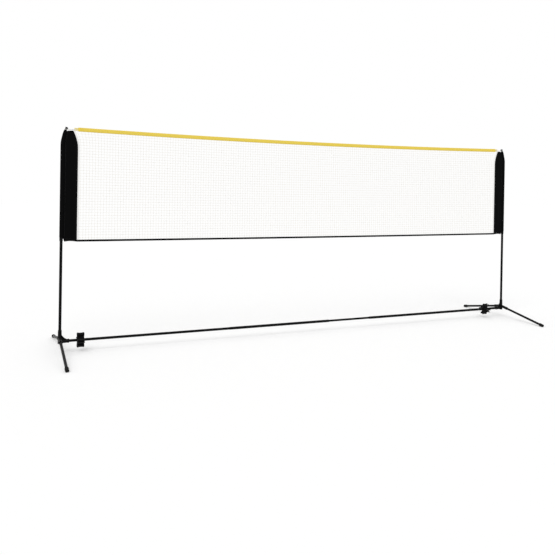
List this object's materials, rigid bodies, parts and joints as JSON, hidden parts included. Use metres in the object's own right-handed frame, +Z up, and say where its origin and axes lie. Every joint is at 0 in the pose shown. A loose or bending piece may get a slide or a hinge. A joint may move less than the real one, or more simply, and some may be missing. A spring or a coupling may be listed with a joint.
{
  "type": "portable sports net stand",
  "caption": "Free-standing portable net on telescopic poles with black side pockets, a yellow top band, a crossbar and sloping feet.",
  "frame": {"origin": "on the ground, midway between the two poles and between the front and rear feet", "axes": "+X along the net to the right, +Y to the rear, +Z up"},
  "size_m": [4, 1.03, 1.58],
  "materials": {
    "steel_black": "black powder coat, semi-gloss",
    "plastic_black": "moulded black nylon, satin",
    "rubber_black": "matt black rubber",
    "net_white": "knotted white nylon twine",
    "band_yellow": "warm yellow woven band",
    "tape_black": "black woven tape",
    "cloth_black": "black polyester cloth",
    "webbing_white": "cream webbing",
    "elastic_white": "white braided elastic cord"
  },
  "bodies": {
    "base": {"hub_left": "plastic_black", "hub_right": "plastic_black", "foot_front_left": "steel_black", "foot_rear_left": "steel_black", "foot_front_right": "steel_black", "foot_rear_right": "steel_black", "foot_cap_front_left": "rubber_black", "foot_cap_rear_left": "rubber_black", "foot_cap_front_right": "rubber_black", "foot_cap_rear_right": "rubber_black", "lower_pole_left": "steel_black", "lower_pole_right": "steel_black", "crossbar_left": "steel_black", "crossbar_middle": "steel_black", "crossbar_link": "steel_black", "crossbar_right": "steel_black", "link_bush_middle": "plastic_black", "link_bush_right": "plastic_black"},
    "mast_left": {"upper_pole_left": "steel_black", "guide_plug_left": "plastic_black", "tip_cap_left": "plastic_black"},
    "mast_right": {"upper_pole_right": "steel_black", "guide_plug_right": "plastic_black", "tip_cap_right": "plastic_black"},
    "net": {"net_mesh": "net_white", "top_band": "band_yellow", "bottom_tape": "tape_black", "side_pocket_left": "cloth_black", "side_pocket_right": "cloth_black", "band_tab_left": "webbing_white", "band_tab_right": "webbing_white", "band_loop_left": "elastic_white", "band_loop_right": "elastic_white"},
    "lock_left": {"lock_collar_left": "plastic_black"},
    "lock_right": {"lock_collar_right": "plastic_black"},
    "clip_left": {"tube_clip_left": "plastic_black"},
    "clip_right": {"tube_clip_right": "plastic_black"}
  },
  "joints": [
    {"name": "left_pole_slide", "type": "slide", "parent": "base", "child": "mast_left", "axis": [0, 0, 1], "range_m": [-0.64, 0]},
    {"name": "right_pole_slide", "type": "slide", "parent": "base", "child": "mast_right", "axis": [0, 0, 1], "range_m": [-0.64, 0]},
    {"name": "net_lift", "type": "slide", "parent": "base", "child": "net", "axis": [0, 0, 1], "range_m": [-0.64, 0]},
    {"name": "left_lock_twist", "type": "hinge", "parent": "base", "child": "lock_left", "pos_m": [-1.9865, 0, 0.8], "axis": [0, 0, 1], "range_deg": [0, 90]},
    {"name": "right_lock_twist", "type": "hinge", "parent": "base", "child": "lock_right", "pos_m": [1.9865, 0, 0.8], "axis": [0, 0, 1], "range_deg": [0, 90]},
    {"name": "left_clip_swivel", "type": "hinge", "parent": "base", "child": "clip_left", "pos_m": [-1.8465, 0, 0.08195], "axis": [1, 0, 0], "continuous": true},
    {"name": "right_clip_swivel", "type": "hinge", "parent": "base", "child": "clip_right", "pos_m": [1.7915, 0, 0.08195], "axis": [1, 0, 0], "continuous": true}
  ],
  "couplings": [
    {"joint": "right_pole_slide", "follows": "left_pole_slide", "ratio": 1},
    {"joint": "net_lift", "follows": "left_pole_slide", "ratio": 1}
  ]
}
